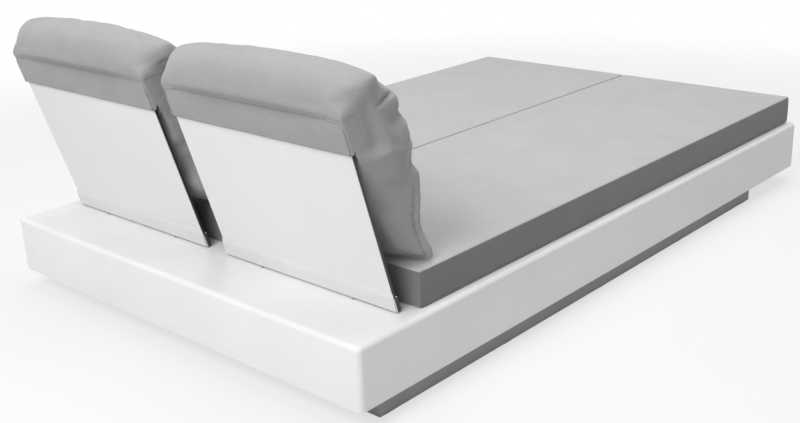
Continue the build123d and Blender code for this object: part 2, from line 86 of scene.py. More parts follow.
class Nodes:
    """Builds the nodes of one tree."""

    def __init__(self, tree):
        self.tree = tree
        self.link = tree.links.new

    def give(self, node, **values):
        """Sets a node's options and unlinked inputs by name, with _ for a space."""
        for key, value in values.items():
            if hasattr(node, key):
                setattr(node, key, value)
            else:
                node.inputs[key.replace("_", " ")].default_value = value
        return node

    def add(self, kind, **values):
        """A new node."""
        return self.give(self.tree.nodes.new(kind), **values)

    def follow(self, kind, vector, **values):
        """A new node with its Vector input linked."""
        node = self.add(kind, **values)
        self.link(vector, node.inputs["Vector"])
        return node

    def place(self):
        """Each point's place on the object."""
        return self.add("ShaderNodeTexCoord").outputs["Object"]

    def calculate(self, operation, *sources):
        """The result of a Math node on numbers or other nodes' outputs."""
        node = self.add("ShaderNodeMath", operation=operation)
        for socket, source in zip(node.inputs, sources):
            if isinstance(source, (int, float)):
                socket.default_value = source
            else:
                self.link(source, socket)
        return node.outputs[0]

    def ramp(self, source, low, high, start=0.3, stop=0.7):
        """Colours between two ends, by a value."""
        node = self.add("ShaderNodeValToRGB")
        for element, position, colour in zip(node.color_ramp.elements, (start, stop), (low, high)):
            element.position = position
            element.color = (*colour, 1)
        self.link(source, node.inputs["Fac"])
        return node.outputs["Color"]

    def uneven_gloss(self, source, shader, low, high):
        """Roughness between two values, by a pattern."""
        gloss = self.add("ShaderNodeMapRange", To_Min=low, To_Max=high)
        self.link(source, gloss.inputs["Value"])
        self.link(gloss.outputs["Result"], shader.inputs["Roughness"])

    def emboss(self, height, shader, strength, depth):
        """Bump on a shader from a height."""
        bump = self.add("ShaderNodeBump", Strength=strength, Distance=depth)
        self.link(height, bump.inputs["Height"])
        self.link(bump.outputs["Normal"], shader.inputs["Normal"])

    def seen_directly(self):
        """1 for camera rays, also by way of gloss or clear parts, and 0 for light on the object."""
        ray = self.add("ShaderNodeLightPath")
        seen = self.calculate("MAXIMUM", ray.outputs["Is Camera Ray"], ray.outputs["Is Glossy Ray"])
        return self.calculate("MAXIMUM", seen, ray.outputs["Is Transmission Ray"])


def material(name):
    """A new node material, its Principled shader and the builder of its nodes."""
    made = bpy.data.materials.new(name)
    made.use_nodes = True
    return made, made.node_tree.nodes["Principled BSDF"], Nodes(made.node_tree)


def grey(value, warm=0.0):
    """A linear grey, a little warmer or cooler."""
    return (value * (1 + warm), value, value * (1 - warm))


def woven(name, tone, contrast=0.06):
    """Outdoor woven cloth: fine crossing yarns, slight mottling and sheen."""
    made, shader, kit = material(name)
    place = kit.place()
    turn = kit.follow("ShaderNodeMapping", place, Rotation=(-lean, 0, 0))
    split = kit.follow("ShaderNodeSeparateXYZ", turn.outputs["Vector"])
    turns = 2 * math.pi / yarn_pitch
    waves = [kit.calculate("SINE", kit.calculate("MULTIPLY", split.outputs[axis], turns)) for axis in "XYZ"]
    first = kit.calculate("MULTIPLY", waves[0], waves[1])
    second = kit.calculate("MULTIPLY", waves[1], waves[2])
    slub = kit.follow("ShaderNodeTexNoise", place, Scale=420.0, Detail=3.0).outputs["Fac"]
    height = kit.calculate("MULTIPLY_ADD", kit.calculate("ADD", first, second), 0.5, slub)
    kit.emboss(height, shader, 0.22, yarn_depth)
    clouds = kit.follow("ShaderNodeTexNoise", place, Scale=9.0, Detail=5.0, Roughness=0.62).outputs["Fac"]
    darker = grey(tone * (1 - contrast), cloth_warmth)
    lighter = grey(tone * (1 + contrast), cloth_warmth * 0.4)
    tint = kit.ramp(clouds, darker, lighter)
    speck = kit.ramp(slub, grey(0.82), grey(1.0), start=0.35, stop=0.6)
    yarn = kit.add("ShaderNodeMix", data_type="RGBA", blend_type="MULTIPLY", Factor=0.35)
    kit.link(tint, yarn.inputs["A"])
    kit.link(speck, yarn.inputs["B"])
    kit.link(yarn.outputs["Result"], shader.inputs["Base Color"])
    kit.give(shader, Roughness=0.85, Sheen_Weight=0.25, Sheen_Roughness=0.5, Specular_IOR_Level=0.25)
    return made


def moulded(name, low, high, rough, dents, grain=3.0):
    """A painted or moulded surface: faint mottling, uneven gloss and shallow dents."""
    made, shader, kit = material(name)
    place = kit.place()
    clouds = kit.follow("ShaderNodeTexNoise", place, Scale=grain, Detail=6.0, Roughness=0.6).outputs["Fac"]
    kit.link(kit.ramp(clouds, low, high), shader.inputs["Base Color"])
    kit.uneven_gloss(clouds, shader, rough - 0.08, rough + 0.1)
    waves = kit.follow("ShaderNodeTexNoise", place, Scale=14.0, Detail=4.0)
    pits = kit.follow("ShaderNodeTexVoronoi", place, Scale=34.0)
    pit = kit.ramp(pits.outputs["Distance"], (0, 0, 0), (1, 1, 1), start=0.02, stop=0.16)
    height = kit.calculate("MULTIPLY_ADD", pit, 0.16, waves.outputs["Fac"])
    kit.emboss(height, shader, 0.35, dents)
    return made


def laminate(name, side):
    """White laminate board with a near-black core that shows on its edges."""
    made, shader, kit = material(name)
    place = kit.place()
    shift = kit.add("ShaderNodeVectorMath", operation="SUBTRACT")
    kit.link(place, shift.inputs[0])
    shift.inputs[1].default_value = pivots[side]
    across = kit.add("ShaderNodeVectorMath", operation="DOT_PRODUCT")
    kit.link(shift.outputs["Vector"], across.inputs[0])
    across.inputs[1].default_value = out_board
    out = across.outputs["Value"]
    skin_start = board_half_thickness - laminate_skin
    skin = kit.calculate("GREATER_THAN", kit.calculate("ABSOLUTE", out), skin_start)
    shape = kit.add("ShaderNodeNewGeometry")
    normal = kit.follow("ShaderNodeSeparateXYZ", shape.outputs["True Normal"])
    # On the side edges only the rear skin is a white line; the front skin there is painted as dark as the
    # core, as painted shade from the cushion beside the edge
    edge = kit.calculate("GREATER_THAN", kit.calculate("ABSOLUTE", normal.outputs["X"]), 0.5)
    front = kit.calculate("GREATER_THAN", out, 0.0)
    white_skin_less_painted_shade = kit.calculate("SUBTRACT", skin, kit.calculate("MULTIPLY", edge, front))
    white_skin_less_painted_shade.node.use_clamp = True
    clouds = kit.follow("ShaderNodeTexNoise", place, Scale=2.2, Detail=4.0)
    fibre = kit.follow("ShaderNodeTexNoise", place, Scale=260.0, Detail=3.0)
    mix = kit.add("ShaderNodeMix", data_type="RGBA")
    kit.link(white_skin_less_painted_shade, mix.inputs["Factor"])
    kit.link(kit.ramp(fibre.outputs["Fac"], grey(0.02), grey(0.045)), mix.inputs["A"])
    kit.link(kit.ramp(clouds.outputs["Fac"], grey(0.70), grey(0.75)), mix.inputs["B"])
    kit.link(mix.outputs["Result"], shader.inputs["Base Color"])
    texture = kit.follow("ShaderNodeTexNoise", place, Scale=150.0, Detail=3.0)
    kit.emboss(texture.outputs["Fac"], shader, 0.12, 0.0003)
    kit.give(shader, Roughness=0.5)
    return made


def metal(name, tone, rough):
    """Bare or plated metal with brushed streaks."""
    made, shader, kit = material(name)
    stretch = kit.follow("ShaderNodeMapping", kit.place(), Scale=(4.0, 90.0, 90.0))
    brushed = kit.follow("ShaderNodeTexNoise", stretch.outputs["Vector"], Scale=6.0, Detail=4.0)
    streaks = brushed.outputs["Fac"]
    kit.link(kit.ramp(streaks, grey(tone * 0.85), grey(tone)), shader.inputs["Base Color"])
    kit.uneven_gloss(streaks, shader, rough - 0.07, rough + 0.1)
    kit.give(shader, Metallic=1.0)
    return made


def timber(name):
    """Plain softwood for the blocks inside the plinth."""
    made, shader, kit = material(name)
    rings = kit.follow("ShaderNodeTexWave", kit.place(), Scale=30.0, Distortion=4.0, Detail=3.0)
    wood = kit.ramp(rings.outputs["Fac"], (0.42, 0.27, 0.14), (0.58, 0.41, 0.24), start=0.2, stop=0.8)
    kit.link(wood, shader.inputs["Base Color"])
    kit.give(shader, Roughness=0.7)
    return made


cushion_cloth = woven("cushion_cloth", 0.30)
mattress_cloth = woven("mattress_cloth", 0.40, contrast=0.04)
# A darker copy of the mattress cloth for the sides and ends: painted shade, as these face away from the
# lamps while the top stays lighter
painted_side_shade_cloth = woven("mattress_border_cloth", 0.165, contrast=0.05)
seam_thread = woven("seam_thread", 0.12)
white_shell = moulded("white_shell", grey(0.70), grey(0.76), rough=0.38, dents=0.0010)
white_panel = moulded("white_panel", grey(0.66), grey(0.72), rough=0.5, dents=0.0003)
white_profile = moulded("white_profile", grey(0.66), grey(0.71), rough=0.4, dents=0.0002)
white_cover = moulded("white_cover", grey(0.65), grey(0.69), rough=0.5, dents=0.0002)
plinth_paint = moulded("plinth_paint", grey(0.26), grey(0.31), rough=0.6, dents=0.0004, grain=8.0)
black_plastic = moulded("black_plastic", grey(0.02), grey(0.035), rough=0.5, dents=0.0002, grain=20.0)
friction_paper = moulded("friction_paper", grey(0.05), grey(0.09), rough=0.8, dents=0.0002, grain=60.0)
aluminium = metal("aluminium", tone=0.75, rough=0.4)
steel = metal("steel", tone=0.55, rough=0.32)
softwood = timber("softwood")
boards = {side: laminate(f"white_board_{side}", side) for side in SIDES}

FINISHES = {
    "platform_shell": white_shell,
    "base_panel": white_panel,
    "rail_": aluminium,
    "deck_joist_": aluminium,
    "plinth_corner_blocks": softwood,
    "plinth_": plinth_paint,
    "floor_glides": black_plastic,
    "hook_strips_": black_plastic,
    "mattress_": mattress_cloth,
    "back_cushion_": cushion_cloth,
    "hood_pocket_": cushion_cloth,
    "hinge_beam": steel,
    "hinge_lugs_": white_profile,
    "lug_": steel,
    "friction_discs": friction_paper,
    "clamp_": steel,
    "disc_springs": steel,
    "back_board_left": boards["left"],
    "back_board_right": boards["right"],
    "foot_profile_": white_profile,
    "foot_caps_left": boards["left"],
    "foot_caps_right": boards["right"],
    "foot_cover_": white_cover,
    "hinge_rod_": steel,
    "recline_arms_": steel,
    "arm_screws_": steel,
}


def dress_nodes():
    """Gives each CAD node its finish."""
    for name, node in NODES.items():
        finish = next(look for start, look in FINISHES.items() if name.startswith(start))
        node.data.materials.clear()
        node.data.materials.append(finish)


# Meshes

def mesh_object(name, points, faces, finish, smooth=True):
    """A mesh object in the row frame."""
    mesh = bpy.data.meshes.new(name)
    mesh.from_pydata([tuple(p) for p in points], [], faces)
    mesh.validate()
    mesh.materials.append(finish)
    made = bpy.data.objects.new(name, mesh)
    bpy.context.scene.collection.objects.link(made)
    if smooth:
        mesh.polygons.foreach_set("use_smooth", [True] * len(mesh.polygons))
    return made


def coordinates(thing):
    """A mesh's points as an array."""
    points = np.empty(len(thing.data.vertices) * 3)
    thing.data.vertices.foreach_get("co", points)
    return points.reshape(-1, 3)


def set_coordinates(thing, points):
    """Writes an array back to a mesh's points."""
    thing.data.vertices.foreach_set("co", np.asarray(points, float).ravel())
    thing.data.update()


def normals(thing):
    """A mesh's point normals as an array."""
    thing.data.update()
    found = np.empty(len(thing.data.vertices) * 3)
    thing.data.vertex_normals.foreach_get("vector", found)
    return found.reshape(-1, 3)


def apply_modifiers(thing):
    """Replaces a mesh by its evaluated one."""
    graph = bpy.context.evaluated_depsgraph_get()
    result = bpy.data.meshes.new_from_object(thing.evaluated_get(graph))
    thing.modifiers.clear()
    thing.data = result


def soft_noise(points, scale, seed):
    """Smooth noise from -1 to 1 at an array of points."""
    shift = Vector((seed * 7.3, seed * 3.1, seed * 5.7))
    return np.array([noise.noise(Vector(p) * scale + shift) for p in points])


def steps(start, stop, count):
    """Evenly spaced values with both ends."""
    return [start + (stop - start) * i / (count - 1) for i in range(count)]


# Back cushions

heel_rear_out = 104 * MM
heel_front_out = 127 * MM
heel_up = 132 * MM
cushion_half = 291 * MM
cushion_top_up = 570 * MM
cushion_front_out = 149 * MM
cushion_rear_out = -12 * MM
seam_rear_out = -6 * MM
crown_up = 450 * MM
blend_up = 498 * MM
end_radius = 40 * MM
mattress_gap = 0.4 * MM
cushion_seeds = {"left": 3, "right": 14}

# The filling: how much smaller the form starts, its grid, how far a point may move, and the simulation
sim_room = 9 * MM
cushion_stations = 45
outline_points = 10
cushion_voxel = 6 * MM
cushion_cap = 22 * MM
sim_frames = 20
sim_pressure = 4.0
even_rounds = 16

# The ends: where they begin, and how they are made fuller and drawn ahead, growing with n and fading with u
end_from = 0.72 * cushion_half
end_run = 0.2 * cushion_half
fuller_by = 15 * MM
fuller_out = (92 * MM, 138 * MM)
fuller_fade = (0.39, 0.53)
ahead_by = 10 * MM
ahead_out = (100 * MM, 138 * MM)
ahead_rise = (0.12, 0.22)
ahead_fade = (0.36, 0.50)

# The front corners on the mattress: how far across and behind the heel's front edge, and how far drawn out
ear = (290 * MM, 6 * MM)
ear_length = 4 * MM
ear_width = 14 * MM

# How much wider each end becomes, by the height u in mm.
# The inner end has a limit above and one below crown_up
widening = [(0, -5), (100, 5), (200, 16), (300, 12), (360, 8), (420, 2), (470, 3), (515, 15), (560, 17)]
inner_limits = (8 * MM, 2 * MM)

# The front seam in u and n, from the heel to the top, with its groove, its gathers and the roll before it.
# Each gets weaker between two heights, and they show only beyond front_from
front_seam = np.array([(0, 112), (63, 115), (108, 112), (168, 107), (225, 119), (339, 141), (400, 145),
                       (456, 132), (500, 112), (600, 78)]) * MM
groove_depth = 5.0 * MM
groove_width = 4.2 * MM
groove_fade = (0.18, 0.28)
gather_height = 1.4 * MM
gather_width = 17 * MM
gather_pitch = 27 * MM
gather_fade = (0.34, 0.41)
roll_height = 3.2 * MM
roll_width = 9 * MM
roll_ahead = 13 * MM
roll_fade = (0.23, 0.40)
front_from = 40 * MM
front_run = 30 * MM

# The soft fold that slants down across each end
fold_height = 1.4 * MM
fold_width = 7 * MM
fold_up = 372 * MM
fold_slant = 0.45
fold_wander = 4 * MM

# Creases: which end, the tip in u and n, the tail in u and n, and the depth, all in mm
crease_tip_across = 295
crease_tail_across = 303
crease_width = 4.6 * MM
rim_away = 13 * MM
rim_width = 7 * MM
corner_creases = [(sign, (459, 136), (456, 72), 10) for sign in (-1, 1)]
extra_creases = {
    "left": [(-1, (466, 66), (474, 20), 7), (-1, (484, 60), (480, 24), 4)],
    "right": [(1, (470, 60), (480, 22), 5)],
}

# Unevenness of the cloth: folds above the hood, soft swells and small puckers
rear_fold_height = 1.3 * MM
swell_height = 1.7 * MM
pucker_height = 0.7 * MM

# The cloth's way round a board's edge in s and n, from the front to the rear
wrap = np.array([(294.5, 62), (293.6, 50), (292.6, 36), (291.6, 28), (289.8, 18), (287.6, 8),
                 (285.6, 0), (284, -4.5), (282, -7.4), (279, -8.6), (270, -8.6), (260, -8.6),
                 (250, -8.6), (240, -8.6)]) * MM
wrap_beside = wrap[:9][::-1]
wrap_rear = -8.6 * MM
wrap_centre = (240 * MM, 50 * MM)

# The rear above the hood, and the ends: inside the gussets' line where these cover them, and level beyond
rear_belly = 9 * MM
turn_fade = 18 * MM
end_inset = -2.1 * MM
end_step = 2.6 * MM
end_rise = (hem_up - 34 * MM, hem_up - 2 * MM)
end_fade = (45 * MM, 85 * MM)
tuck_from = hem_up + 6 * MM
tuck_cover = 20 * MM
tuck_inset = 2.2 * MM


def on_mattress(n):
    """How far up along the board a point lies on the mattress, at a distance out of it."""
    rise = mattress_top + mattress_gap - pivots["left"].z
    return (rise - n * math.cos(lean)) / math.sin(lean)


def smooth_loop(corners, count):
    """Points along a closed curve through a few corners."""
    loop = np.array(corners, float)
    size = len(loop)
    found = []
    for i in range(size):
        before, here, after, beyond = (loop[(i + k) % size] for k in (-1, 0, 1, 2))
        for t in np.linspace(0, 1, count, endpoint=False):
            tangent_a = (after - before) * 0.5
            tangent_b = (beyond - here) * 0.5
            h = (2 * t**3 - 3 * t**2 + 1, t**3 - 2 * t**2 + t, -2 * t**3 + 3 * t**2, t**3 - t**2)
            found.append(h[0] * here + h[1] * tangent_a + h[2] * after + h[3] * tangent_b)
    return np.array(found)


def cushion_section(s):
    """The left cushion's outline in u and n at s across, a little smaller than the filled cushion.
    It starts at the heel and goes up the front, over the top and down the rear."""
    share = abs(s) / cushion_half
    sag = 30 * MM * share**2.3 + 4 * MM * share**16
    past = max(abs(s) - (cushion_half - end_radius), 0)
    rear_turn = end_radius - math.sqrt(max(end_radius**2 - past**2, 0))
    front_turn = 5 * MM * share**16
    rear = cushion_rear_out + rear_turn
    seam_rear = seam_rear_out + 0.35 * rear_turn
    front = cushion_front_out - sim_room - front_turn
    top = cushion_top_up - sim_room - sag - rear_turn * 0.05
    wraps = abs(s) > board_half_width + 4 * MM
    inner = float(smooth_share(-s, 0.05, 0.24))
    return [
        (on_mattress(heel_rear_out), heel_rear_out),
        (on_mattress(heel_front_out), heel_front_out),
        (130 * MM, front - 6 * MM - 12 * MM * share**8),
        (280 * MM, front + 2 * MM),
        (430 * MM, front),
        (top - 42 * MM, front - 34 * MM),
        (top - 4 * MM, 72 * MM + 0.25 * rear_turn),
        (top - 10 * MM, 24 * MM + 0.72 * rear_turn),
        (top - 42 * MM, rear),
        (hood_seam_up + 22 * MM, 0.6 * rear + 0.4 * seam_rear - 2 * MM),
        (hood_seam_up + 3 * MM, seam_rear),
        (hood_seam_up + 1 * MM, -2 * MM if wraps else 14 * MM),
        (hem_up - 4 * MM, 3 * MM if wraps else 27 * MM),
        (hem_up - 180 * MM, (62 - 35 * inner) * MM),
        (heel_up, (82 - 52 * inner) * MM),
    ]


def cushion_form():
    """The unfilled cushion around s, u, n axes: closed sections side by side."""
    stations = [math.sin(a) * cushion_half for a in steps(-math.pi / 2, math.pi / 2, cushion_stations)]
    rings = [smooth_loop(cushion_section(s), outline_points) for s in stations]
    size = len(rings[0])
    points = [(s, u, n) for s, ring in zip(stations, rings) for u, n in ring]
    faces = []
    for i in range(len(stations) - 1):
        for j in range(size):
            k = (j + 1) % size
            faces.append((i * size + j, i * size + k, (i + 1) * size + k, (i + 1) * size + j))
    faces.append(tuple(range(size)))
    faces.append(tuple(reversed(range((len(stations) - 1) * size, len(stations) * size))))
    form = mesh_object("cushion_form", points, faces, cushion_cloth)
    remesh = form.modifiers.new("even", "REMESH")
    remesh.mode = "VOXEL"
    remesh.voxel_size = cushion_voxel
    apply_modifiers(form)
    return form


def inflate(form):
    """Fills the cushion with air pressure, and limits how far each point moves."""
    start = coordinates(form)
    cloth = form.modifiers.new("fill", "CLOTH")
    cloth.settings.effector_weights.gravity = 0
    cloth.settings.use_pressure = True
    cloth.settings.uniform_pressure_force = sim_pressure
    cloth.settings.quality = 5
    cloth.settings.tension_stiffness = 25
    cloth.settings.compression_stiffness = 25
    cloth.settings.bending_stiffness = 1.2
    cloth.point_cache.frame_start = 1
    cloth.point_cache.frame_end = sim_frames
    for number in range(1, sim_frames + 1):
        bpy.context.scene.frame_set(number)
    apply_modifiers(form)
    moved = coordinates(form) - start
    length = np.linalg.norm(moved, axis=1, keepdims=True)
    moved *= np.minimum(1, cushion_cap / np.maximum(length, 1e-9))
    set_coordinates(form, start + moved)
    bpy.context.scene.frame_set(1)
    even = form.modifiers.new("even", "SMOOTH")
    even.factor = 0.5
    even.iterations = even_rounds
    apply_modifiers(form)


def subdivide(thing):
    """Smooths a mesh by one subdivision and keeps the result."""
    surface = thing.modifiers.new("smooth", "SUBSURF")
    surface.levels = 1
    surface.render_levels = 1
    apply_modifiers(thing)


def distance_to_path(points, path):
    """Distance from 2-D points to a path, and how far along the path the nearest place is."""
    best = np.full(len(points), 1e9)
    along = np.zeros(len(points))
    run = 0.0
    for a, b in zip(path, path[1:]):
        a = np.array(a, float)
        span = np.array(b, float) - a
        size = np.linalg.norm(span)
        t = np.clip(((points - a) @ span) / size**2, 0, 1)
        d = np.linalg.norm(points - a - t[:, None] * span, axis=1)
        nearer = d < best
        best[nearer] = d[nearer]
        along[nearer] = run + t[nearer] * size
        run += size
    return best, along


def bell(distance, width):
    """A smooth bump that falls to nothing over a few widths."""
    return np.exp(-((distance / width) ** 2))


def smooth_share(value, start, stop):
    """Rises smoothly from 0 at start to 1 at stop."""
    t = np.clip((value - start) / (stop - start), 0, 1)
    return t * t * (3 - 2 * t)


def even_share(value, start, run):
    """Rises evenly from 0 at start to 1 after a run."""
    return np.clip((value - start) / run, 0, 1)


def square_ends(points, outer):
    """Evens out the filled form's ends in s, u, n: the outer one bulges, the inner one is straighter."""
    s, u, n = points.T
    wider = np.interp(u / MM, *zip(*widening)) * MM
    inner_limit = np.where(u > crown_up, *inner_limits)
    wider = np.where(s * outer > 0, wider, np.minimum(wider, inner_limit))
    fuller = fuller_by * smooth_share(n, *fuller_out) * (1 - smooth_share(u, *fuller_fade))
    ahead = ahead_by * smooth_share(n, *ahead_out)
    ahead *= smooth_share(u, *ahead_rise) * (1 - smooth_share(u, *ahead_fade))
    weight = np.clip(np.abs(s) / cushion_half, 0, 1) ** 6
    points[:, 0] = s + np.sign(s) * (wider + fuller) * weight
    points[:, 2] = n + ahead * weight


def seam_relief(points, outward, seed):
    """How far the front seam's groove, gathers and roll and the fold at each end move the points out."""
    s, u, n = points.T
    away, along = distance_to_path(points[:, 1:], front_seam)
    before = n - np.interp(u, *front_seam.T)
    wander = soft_noise(points * (1, 1, 0.4), 9.0, seed)
    gathers = np.sin(2 * math.pi * along / gather_pitch + 5.0 * wander) * (0.6 + 0.4 * wander)
    sideways = np.abs(outward[:, 0]) > 0.2
    front_zone = even_share(n, front_from, front_run)
    seamed = np.where(sideways | (u > crown_up), 1.0, 0.0) * front_zone
    gathered = np.where(sideways, 0.3 + 0.7 * (1 - smooth_share(u, *gather_fade)), 0.35)
    rolled = np.where(sideways, 1, 0.4) * (1 - smooth_share(u, *roll_fade))
    pressed = 0.2 + 0.8 * (1 - smooth_share(u, *groove_fade))
    change = -groove_depth * bell(away, groove_width) * seamed * pressed
    change += gather_height * gathers * bell(away, gather_width) * seamed * gathered
    change += roll_height * bell(before - roll_ahead, roll_width) * rolled * front_zone
    fold = u - fold_up + fold_slant * (n - front_from) - fold_wander * wander
    end = even_share(np.abs(s), end_from, end_run)
    change += fold_height * bell(fold, fold_width) * end * sideways * front_zone
    return change


def crease_relief(points, creases):
    """How far the short creases at the top corners press in, and the low rim round each comes out."""
    change = np.zeros(len(points))
    for sign, tip, tail, depth in creases:
        tip = np.array((sign * crease_tip_across, *tip)) * MM
        tail = np.array((sign * crease_tail_across, *tail)) * MM
        span = tail - tip
        t = np.clip(((points - tip) @ span) / (span @ span), 0, 1)
        gap = np.linalg.norm(points - tip - t[:, None] * span, axis=1)
        change -= depth * MM * bell(gap, crease_width) * (1 - 0.75 * t)
        change += 0.12 * depth * MM * bell(gap - rim_away, rim_width) * (1 - 0.5 * t)
    return change


def rumple_relief(points, seed):
    """Folds above the hood, and swells and puckers wherever the cloth is free."""
    s, u, n = points.T
    end = even_share(np.abs(s), end_from, end_run)
    top_rear = even_share(u, hood_seam_up + 12 * MM, 35 * MM) * np.where(n < 60 * MM, 1, 0.3)
    change = rear_fold_height * soft_noise(points * (26, 5, 9), 1.0, seed + 1) * top_rear * (0.45 + end)
    free = np.maximum(even_share(n, 20 * MM, 20 * MM), even_share(u, hood_seam_up + 8 * MM, 20 * MM))
    change += swell_height * soft_noise(points, 11.0, seed + 2) * free
    change += pucker_height * soft_noise(points, 42.0, seed + 3) * (0.3 + end) * free
    return change


def draw_out_ears(points):
    """Draws out the two front corners that lie on the mattress."""
    across, behind = ear
    for sign in (-1, 1):
        corner = (sign * across, on_mattress(heel_front_out), heel_front_out - behind)
        gap = np.linalg.norm(points - corner, axis=1)
        points[:, 0] += sign * ear_length * bell(gap, ear_width)


def sew_cushion(thing, seed, creases, outer):
    """Presses in the seams, gathers and creases of a filled cushion, in s, u, n."""
    points = coordinates(thing)
    square_ends(points, outer)
    set_coordinates(thing, points)
    outward = normals(thing)
    change = seam_relief(points, outward, seed)
    change += crease_relief(points, creases)
    change += rumple_relief(points, seed)
    points += outward * change[:, None]
    draw_out_ears(points)
    set_coordinates(thing, points)
    fit_to_hood(points, normals(thing))
    set_coordinates(thing, points)


def gusset_half(n):
    """How far from the middle the cloth beside each board lies, at a distance out of the board."""
    return np.interp(n, wrap_beside[:, 1], wrap_beside[:, 0])


def gusset_reach(v):
    """How far out the hood's gussets go, at a share v from the hem to the top seam."""
    return 6 * MM + 31 * MM * smooth_share(v, 0.0, 0.45)


def draw_rear(points, outward, above):
    """Draws the rear just above the hood onto the cloth's way round the board."""
    s, u, n = points.T
    keep = np.where(u > hood_seam_up - 1 * MM, 1 - above, 0)
    belly = 1 - np.clip(np.abs(s) / (0.93 * cushion_half), 0, 1) ** 8
    deeper = -rear_belly * above * belly
    across = np.abs(s) - wrap_centre[0]
    behind = wrap_centre[1] + deeper - n
    beside = np.maximum(across, 0)
    length = np.maximum(np.hypot(beside, behind), 1e-9)
    facing = (outward[:, 0] * np.sign(s) * beside - outward[:, 2] * behind) / length
    weight = keep * np.clip(3 * facing, 0, 1)
    around = wrap[1:] - wrap_centre
    angles = np.arctan2(-around[:, 1], around[:, 0])
    target = np.interp(np.arctan2(behind, across), angles, np.hypot(*around.T))
    grow = np.where((across > 0) & (behind > 0), target / length - 1, 0)
    grow *= weight * smooth_share(behind, 0, turn_fade)
    points[:, 0] += np.sign(s) * across * grow
    points[:, 2] -= behind * grow
    back = (across <= 0) & (behind > 0)
    points[:, 2] = np.where(back, n + (wrap_rear + deeper - n) * weight, points[:, 2])


def draw_ends(points, outward, above):
    """Draws the ends level with the hood's gussets, and a little inside where these cover the cushion."""
    s, u, n = points.T
    share = np.clip((u - hem_up) / (hood_seam_up - hem_up), 0, 1)
    end = np.where(u < hood_seam_up, gusset_reach(share), -20 * MM)
    offset = end_inset + end_step * smooth_share(n, end - 24 * MM, end - 3 * MM)
    pull = smooth_share(u, *end_rise) * (1 - above) * (1 - smooth_share(n, *end_fade))
    pull *= np.clip(3 * outward[:, 0] * np.sign(s), 0, 1)
    points[:, 0] += np.sign(s) * (gusset_half(n) + offset - np.abs(s)) * pull
    tucked = (u < hood_seam_up) & (u > tuck_from) & (n < end - tuck_cover)
    limit = gusset_half(n) - tuck_inset
    points[:, 0] = np.where(tucked, np.clip(points[:, 0], -limit, limit), points[:, 0])


def fit_to_hood(points, outward):
    """Draws the cushion's rear and end surfaces flush with the hood, in s, u, n."""
    above = smooth_share(points[:, 1], hood_seam_up, blend_up)
    draw_rear(points, outward, above)
    draw_ends(points, outward, above)


def settle_cushion(points, side):
    """Row-frame points of a cushion, kept off the mattress, the board and the hood."""
    s, u, n = points.T
    beside = np.abs(s) > board_half_width + 2.5 * MM
    inside = (u < hood_seam_up + 1 * MM) & ~beside
    n = np.where(inside, np.maximum(n, board_half_thickness + 6 * MM), n)
    placed = np.outer(u, up_board) + np.outer(n, out_board) + np.array(pivots[side])
    placed[:, 0] += s
    placed[:, 2] = np.maximum(placed[:, 2], mattress_top + mattress_gap)
    return placed


def make_cushions():
    """Both back cushions, from one filled form that is mirrored for the right side."""
    form = cushion_form()
    inflate(form)
    subdivide(form)
    for side, sign in SIDES.items():
        made = bpy.data.objects.new(f"cushion_{side}", form.data.copy())
        bpy.context.scene.collection.objects.link(made)
        if sign < 0:
            set_coordinates(made, coordinates(made) * (-1, 1, 1))
            made.data.flip_normals()
        sew_cushion(made, cushion_seeds[side], corner_creases + extra_creases[side], sign)
        set_coordinates(made, settle_cushion(coordinates(made), side))
        made.data.polygons.foreach_set("use_smooth", [True] * len(made.data.polygons))
        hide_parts(f"back_cushion_{side}")
        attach(made, f"backrest_{side}")
    bpy.data.objects.remove(form)


# Hoods: the cloth that slips over each board's top

hood_cloth = 1.4 * MM
hood_rear = -8.4 * MM
hood_top = hood_seam_up + 6 * MM
hood_overhang = 2.3 * MM
hood_rounding = 17 * MM
hood_belly = 2.6 * MM
hood_hollow = 1.1 * MM
hood_swell = 1.6 * MM
hood_pucker = 0.6 * MM
hood_rows = 28
hood_columns = 81
gusset_columns = 14
gusset_rear = -6.9 * MM
gusset_flat_from = 280.5 * MM
gusset_level = -6.6 * MM
gusset_drop = 1.8 * MM
hood_seeds = {"left": 2, "right": 7}
welt_radius = 1.7 * MM
welt_ends = (0.238, 0.256)
welt_shares = (0.98, 0.965, 0.95, 0.93, 0.91, 0.88, 0.85, 0.81, 0.77,
               0.72, 0.66, 0.6, 0.5, 0.4, 0.3, 0.2, 0.1, 0)
stitch_pitch = 13 * MM
stitch_size = (7 * MM, 1.1 * MM, 0.5 * MM)


def hood_edge(v):
    """How far from the middle the hood's rear panel ends, at a share v from its hem to its seam."""
    return board_half_width + hood_overhang - hood_rounding * v**8


def hood_bulge(s, v, seed):
    """How far the rear panel stands out, at s across and a share v from hem to seam."""
    belly = hood_belly * math.sin(math.pi * (1 - v)) ** 1.4 * (1 - 0.55 * v)
    hollow = hood_hollow * math.exp(-(((v - 0.8) / 0.16) ** 2))
    rumple = hood_swell * noise.noise(Vector((s * 7, v * 1.8, seed)))
    rumple += hood_pucker * noise.noise(Vector((s * 30, v * 2.5, seed + 4)))
    held = max(0.0, 1 - (s / hood_edge(v)) ** 8)
    return (belly - hollow + max(rumple, -0.8 * MM) * math.sin(math.pi * min(v + 0.25, 1))) * held


def hood_path(v, seed):
    """The hood's cross-section from end to end: the rear panel, and a gusset round each edge.
    A gusset starts beside the board, turns round its edge and meets the panel."""
    edge = hood_edge(v)
    reach = float(gusset_reach(v))
    level = gusset_level - gusset_drop * float(smooth_share(v, 0.75, 1.0))
    turn = [(float(gusset_half(n)), n) for n in steps(reach - 7 * MM, gusset_rear, gusset_columns)]
    turn = [(s, n + (level + 7 * MM) * t) for (s, n), t in zip(turn, steps(0, 1, gusset_columns))]
    turn += [(edge + 1 * MM + (gusset_flat_from - edge) * t, level) for t in (0.8, 0.5, 0.2)]
    rear = [(edge * t, hood_rear - hood_bulge(edge * t, v, seed)) for t in steps(1, -1, hood_columns)]
    return turn + rear + [(-s, n) for s, n in reversed(turn)]


